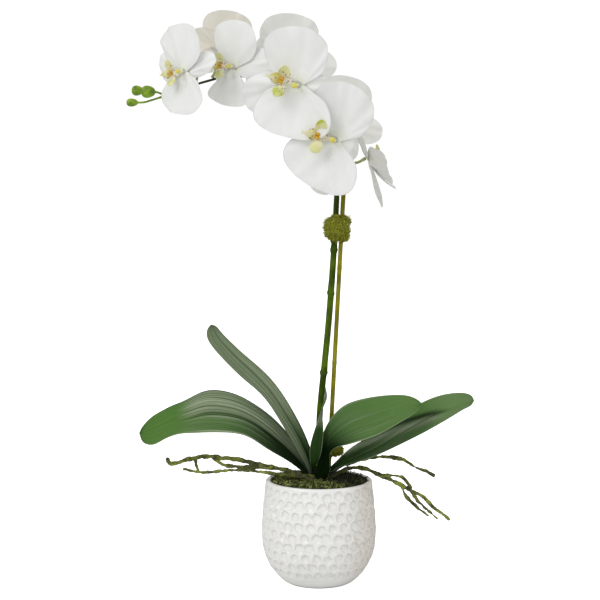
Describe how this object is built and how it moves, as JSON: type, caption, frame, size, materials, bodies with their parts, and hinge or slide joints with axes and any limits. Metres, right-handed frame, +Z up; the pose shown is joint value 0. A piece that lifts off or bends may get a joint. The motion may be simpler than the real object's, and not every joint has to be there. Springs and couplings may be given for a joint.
{
  "type": "potted orchid",
  "caption": "Moth orchid in a round dimpled pot: an arching spike of white flowers and buds tied to a cane, strap leaves and air roots.",
  "frame": {"origin": "middle of the pot's flat underside", "axes": "+Z up the plant, +X towards the plant's right as seen from the front, and the front, where the open flowers look, is -Y"},
  "size_m": [0.3451, 0.1458, 0.5716],
  "materials": {
    "white_glaze": "off-white satin glaze over a hammered, dimpled surface, slightly worn on the ridges",
    "bark_medium": "coarse brown orchid bark, matt",
    "dark_moss": "dark olive fibrous moss, matt",
    "green_stem": "smooth green flower stem with darker nodes, satin",
    "leaf": "thick strap leaf, mid green with a grey bloom, long fine veins, satin",
    "air_root": "knobbly olive air root with brown marks, matt",
    "cane_stake": "olive-yellow cane, satin",
    "raffia": "tan raffia tie, matt",
    "lime_moss": "fuzzy lime-green moss, matt",
    "bud": "closed green flower bud, satin",
    "petal": "matt white petal with a soft sheen and faint veins",
    "column": "cream column with a yellow tip, satin",
    "lip": "white and yellow lip with an orange crest and dark red freckles, satin"
  },
  "bodies": {
    "root": {"pot": "white_glaze", "growing_medium": "bark_medium", "moss_bed": "dark_moss", "crown": "green_stem", "leaf_upright_left": "leaf", "leaf_drooping_left": "leaf", "leaf_small_centre": "leaf", "leaf_front_right": "leaf", "leaf_long_right": "leaf", "roots_left": "air_root", "roots_right": "air_root", "root_back_right": "air_root", "flower_spike": "green_stem", "stake": "cane_stake", "stem_tie": "raffia", "moss_tie": "lime_moss", "stake_moss": "lime_moss", "bud_1": "bud", "bud_2": "bud", "bud_3": "bud", "flower_1_petals": "petal", "flower_1_sepals": "petal", "flower_1_column": "column", "flower_1_lip": "lip", "flower_1_stalk": "green_stem", "flower_2_petals": "petal", "flower_2_sepals": "petal", "flower_2_column": "column", "flower_2_lip": "lip", "flower_2_stalk": "green_stem", "flower_3_petals": "petal", "flower_3_sepals": "petal", "flower_3_column": "column", "flower_3_lip": "lip", "flower_3_stalk": "green_stem", "flower_4_petals": "petal", "flower_4_sepals": "petal", "flower_4_column": "column", "flower_4_lip": "lip", "flower_4_stalk": "green_stem", "flower_5_petals": "petal", "flower_5_sepals": "petal", "flower_5_column": "column", "flower_5_lip": "lip", "flower_5_stalk": "green_stem", "flower_6_petals": "petal", "flower_6_sepals": "petal", "flower_6_column": "column", "flower_6_lip": "lip", "flower_6_stalk": "green_stem", "flower_7_petals": "petal", "flower_7_sepals": "petal", "flower_7_column": "column", "flower_7_lip": "lip", "flower_7_stalk": "green_stem", "flower_8_petals": "petal", "flower_8_sepals": "petal", "flower_8_column": "column", "flower_8_lip": "lip", "flower_8_stalk": "green_stem"}
  },
  "joints": []
}
